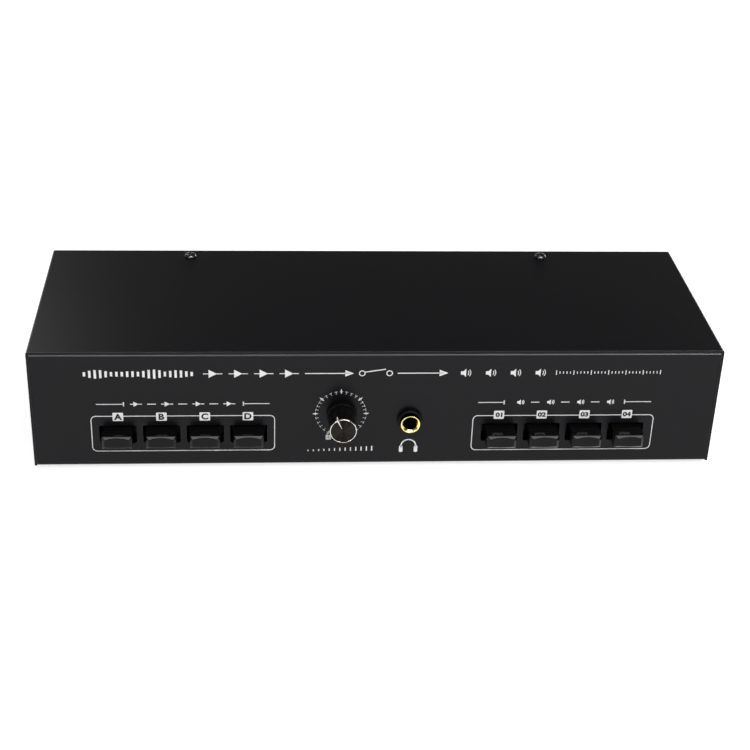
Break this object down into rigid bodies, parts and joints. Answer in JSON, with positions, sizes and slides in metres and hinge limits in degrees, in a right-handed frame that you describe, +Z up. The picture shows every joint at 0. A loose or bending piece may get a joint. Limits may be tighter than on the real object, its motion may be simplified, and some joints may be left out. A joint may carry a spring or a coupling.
{
  "type": "speaker selector switch",
  "caption": "Flat black steel case with two rows of push buttons, a volume knob and a headphone socket in front, and binding posts behind.",
  "frame": {"origin": "on the table, under the middle of the object's box", "axes": "+X to the right seen from the front, +Y to the rear, +Z up"},
  "size_m": [0.3236, 0.143, 0.0648],
  "materials": {
    "powder_coat": "fine black powder coat",
    "black_screw": "black oxide, slightly shiny",
    "foot_rubber": "matt",
    "switch_plastic": "matt",
    "button_plastic": "glossy",
    "knob_plastic": "satin",
    "knob_metal": "spun, bright rim",
    "steel": "plated",
    "ring_plastic": "satin",
    "gold_plate": "gold plated, polished",
    "brass": "plain",
    "circuit_board": "green solder mask",
    "red_cap": "glossy, fluted",
    "black_cap": "glossy, fluted",
    "white_print": "screen print"
  },
  "bodies": {
    "root": {"base_chassis": "powder_coat", "top_cover": "powder_coat", "cover_screws": "black_screw", "rubber_feet": "foot_rubber", "switch_bodies": "switch_plastic", "pot_body": "steel", "pot_nut": "steel", "jack_body": "switch_plastic", "jack_bushing": "gold_plate", "jack_nut": "ring_plastic", "main_board": "circuit_board", "board_standoffs": "brass", "board_screws": "steel", "post_studs": "gold_plate", "post_insulators": "ring_plastic", "post_nuts": "steel", "terminal_board": "circuit_board"},
    "input_button_a": {"input_button_a": "button_plastic"},
    "input_button_b": {"input_button_b": "button_plastic"},
    "input_button_c": {"input_button_c": "button_plastic"},
    "input_button_d": {"input_button_d": "button_plastic"},
    "output_button_1": {"output_button_1": "button_plastic"},
    "output_button_2": {"output_button_2": "button_plastic"},
    "output_button_3": {"output_button_3": "button_plastic"},
    "output_button_4": {"output_button_4": "button_plastic"},
    "knob": {"volume_knob": "knob_plastic", "knob_face": "knob_metal", "pot_shaft": "steel"},
    "cap_a_left_minus": {"cap_a_left_minus": "black_cap"},
    "cap_a_left_plus": {"cap_a_left_plus": "red_cap"},
    "cap_a_right_minus": {"cap_a_right_minus": "black_cap"},
    "cap_a_right_plus": {"cap_a_right_plus": "red_cap"},
    "cap_b_left_minus": {"cap_b_left_minus": "black_cap"},
    "cap_b_left_plus": {"cap_b_left_plus": "red_cap"},
    "cap_b_right_minus": {"cap_b_right_minus": "black_cap"},
    "cap_b_right_plus": {"cap_b_right_plus": "red_cap"},
    "cap_c_left_minus": {"cap_c_left_minus": "black_cap"},
    "cap_c_left_plus": {"cap_c_left_plus": "red_cap"},
    "cap_c_right_minus": {"cap_c_right_minus": "black_cap"},
    "cap_c_right_plus": {"cap_c_right_plus": "red_cap"},
    "cap_d_left_minus": {"cap_d_left_minus": "black_cap"},
    "cap_d_left_plus": {"cap_d_left_plus": "red_cap"},
    "cap_d_right_minus": {"cap_d_right_minus": "black_cap"},
    "cap_d_right_plus": {"cap_d_right_plus": "red_cap"},
    "cap_1_left_minus": {"cap_1_left_minus": "black_cap"},
    "cap_1_left_plus": {"cap_1_left_plus": "red_cap"},
    "cap_1_right_minus": {"cap_1_right_minus": "black_cap"},
    "cap_1_right_plus": {"cap_1_right_plus": "red_cap"},
    "cap_2_left_minus": {"cap_2_left_minus": "black_cap"},
    "cap_2_left_plus": {"cap_2_left_plus": "red_cap"},
    "cap_2_right_minus": {"cap_2_right_minus": "black_cap"},
    "cap_2_right_plus": {"cap_2_right_plus": "red_cap"},
    "cap_3_left_minus": {"cap_3_left_minus": "black_cap"},
    "cap_3_left_plus": {"cap_3_left_plus": "red_cap"},
    "cap_3_right_minus": {"cap_3_right_minus": "black_cap"},
    "cap_3_right_plus": {"cap_3_right_plus": "red_cap"},
    "cap_4_left_minus": {"cap_4_left_minus": "black_cap"},
    "cap_4_left_plus": {"cap_4_left_plus": "red_cap"},
    "cap_4_right_minus": {"cap_4_right_minus": "black_cap"},
    "cap_4_right_plus": {"cap_4_right_plus": "red_cap"}
  },
  "joints": [
    {"name": "turn_volume", "type": "hinge", "parent": "root", "child": "knob", "pos_m": [-0.0172, -0.0555, 0.0303], "axis": [0, 1, 0], "range_deg": [-124, 178]},
    {"name": "press_input_a", "type": "slide", "parent": "root", "child": "input_button_a", "axis": [0, 1, 0], "range_m": [-0.0018, 0.001]},
    {"name": "press_input_b", "type": "slide", "parent": "root", "child": "input_button_b", "axis": [0, 1, 0], "range_m": [-0.0018, 0.001]},
    {"name": "press_input_c", "type": "slide", "parent": "root", "child": "input_button_c", "axis": [0, 1, 0], "range_m": [-0.0018, 0.001]},
    {"name": "press_input_d", "type": "slide", "parent": "root", "child": "input_button_d", "axis": [0, 1, 0], "range_m": [-0.0018, 0.001]},
    {"name": "press_output_1", "type": "slide", "parent": "root", "child": "output_button_1", "axis": [0, 1, 0], "range_m": [0, 0.0028], "stiffness_N_per_m": 300, "springref_m": -0.002},
    {"name": "press_output_2", "type": "slide", "parent": "root", "child": "output_button_2", "axis": [0, 1, 0], "range_m": [0, 0.0028], "stiffness_N_per_m": 300, "springref_m": -0.002},
    {"name": "press_output_3", "type": "slide", "parent": "root", "child": "output_button_3", "axis": [0, 1, 0], "range_m": [0, 0.0028], "stiffness_N_per_m": 300, "springref_m": -0.002},
    {"name": "press_output_4", "type": "slide", "parent": "root", "child": "output_button_4", "axis": [0, 1, 0], "range_m": [0, 0.0028], "stiffness_N_per_m": 300, "springref_m": -0.002},
    {"name": "unscrew_a_left_minus", "type": "slide", "parent": "root", "child": "cap_a_left_minus", "axis": [0, 1, 0], "range_m": [0, 0.005]},
    {"name": "unscrew_a_left_plus", "type": "slide", "parent": "root", "child": "cap_a_left_plus", "axis": [0, 1, 0], "range_m": [0, 0.005]},
    {"name": "unscrew_a_right_minus", "type": "slide", "parent": "root", "child": "cap_a_right_minus", "axis": [0, 1, 0], "range_m": [0, 0.005]},
    {"name": "unscrew_a_right_plus", "type": "slide", "parent": "root", "child": "cap_a_right_plus", "axis": [0, 1, 0], "range_m": [0, 0.005]},
    {"name": "unscrew_b_left_minus", "type": "slide", "parent": "root", "child": "cap_b_left_minus", "axis": [0, 1, 0], "range_m": [0, 0.005]},
    {"name": "unscrew_b_left_plus", "type": "slide", "parent": "root", "child": "cap_b_left_plus", "axis": [0, 1, 0], "range_m": [0, 0.005]},
    {"name": "unscrew_b_right_minus", "type": "slide", "parent": "root", "child": "cap_b_right_minus", "axis": [0, 1, 0], "range_m": [0, 0.005]},
    {"name": "unscrew_b_right_plus", "type": "slide", "parent": "root", "child": "cap_b_right_plus", "axis": [0, 1, 0], "range_m": [0, 0.005]},
    {"name": "unscrew_c_left_minus", "type": "slide", "parent": "root", "child": "cap_c_left_minus", "axis": [0, 1, 0], "range_m": [0, 0.005]},
    {"name": "unscrew_c_left_plus", "type": "slide", "parent": "root", "child": "cap_c_left_plus", "axis": [0, 1, 0], "range_m": [0, 0.005]},
    {"name": "unscrew_c_right_minus", "type": "slide", "parent": "root", "child": "cap_c_right_minus", "axis": [0, 1, 0], "range_m": [0, 0.005]},
    {"name": "unscrew_c_right_plus", "type": "slide", "parent": "root", "child": "cap_c_right_plus", "axis": [0, 1, 0], "range_m": [0, 0.005]},
    {"name": "unscrew_d_left_minus", "type": "slide", "parent": "root", "child": "cap_d_left_minus", "axis": [0, 1, 0], "range_m": [0, 0.005]},
    {"name": "unscrew_d_left_plus", "type": "slide", "parent": "root", "child": "cap_d_left_plus", "axis": [0, 1, 0], "range_m": [0, 0.005]},
    {"name": "unscrew_d_right_minus", "type": "slide", "parent": "root", "child": "cap_d_right_minus", "axis": [0, 1, 0], "range_m": [0, 0.005]},
    {"name": "unscrew_d_right_plus", "type": "slide", "parent": "root", "child": "cap_d_right_plus", "axis": [0, 1, 0], "range_m": [0, 0.005]},
    {"name": "unscrew_1_left_minus", "type": "slide", "parent": "root", "child": "cap_1_left_minus", "axis": [0, 1, 0], "range_m": [0, 0.005]},
    {"name": "unscrew_1_left_plus", "type": "slide", "parent": "root", "child": "cap_1_left_plus", "axis": [0, 1, 0], "range_m": [0, 0.005]},
    {"name": "unscrew_1_right_minus", "type": "slide", "parent": "root", "child": "cap_1_right_minus", "axis": [0, 1, 0], "range_m": [0, 0.005]},
    {"name": "unscrew_1_right_plus", "type": "slide", "parent": "root", "child": "cap_1_right_plus", "axis": [0, 1, 0], "range_m": [0, 0.005]},
    {"name": "unscrew_2_left_minus", "type": "slide", "parent": "root", "child": "cap_2_left_minus", "axis": [0, 1, 0], "range_m": [0, 0.005]},
    {"name": "unscrew_2_left_plus", "type": "slide", "parent": "root", "child": "cap_2_left_plus", "axis": [0, 1, 0], "range_m": [0, 0.005]},
    {"name": "unscrew_2_right_minus", "type": "slide", "parent": "root", "child": "cap_2_right_minus", "axis": [0, 1, 0], "range_m": [0, 0.005]},
    {"name": "unscrew_2_right_plus", "type": "slide", "parent": "root", "child": "cap_2_right_plus", "axis": [0, 1, 0], "range_m": [0, 0.005]},
    {"name": "unscrew_3_left_minus", "type": "slide", "parent": "root", "child": "cap_3_left_minus", "axis": [0, 1, 0], "range_m": [0, 0.005]},
    {"name": "unscrew_3_left_plus", "type": "slide", "parent": "root", "child": "cap_3_left_plus", "axis": [0, 1, 0], "range_m": [0, 0.005]},
    {"name": "unscrew_3_right_minus", "type": "slide", "parent": "root", "child": "cap_3_right_minus", "axis": [0, 1, 0], "range_m": [0, 0.005]},
    {"name": "unscrew_3_right_plus", "type": "slide", "parent": "root", "child": "cap_3_right_plus", "axis": [0, 1, 0], "range_m": [0, 0.005]},
    {"name": "unscrew_4_left_minus", "type": "slide", "parent": "root", "child": "cap_4_left_minus", "axis": [0, 1, 0], "range_m": [0, 0.005]},
    {"name": "unscrew_4_left_plus", "type": "slide", "parent": "root", "child": "cap_4_left_plus", "axis": [0, 1, 0], "range_m": [0, 0.005]},
    {"name": "unscrew_4_right_minus", "type": "slide", "parent": "root", "child": "cap_4_right_minus", "axis": [0, 1, 0], "range_m": [0, 0.005]},
    {"name": "unscrew_4_right_plus", "type": "slide", "parent": "root", "child": "cap_4_right_plus", "axis": [0, 1, 0], "range_m": [0, 0.005]}
  ]
}
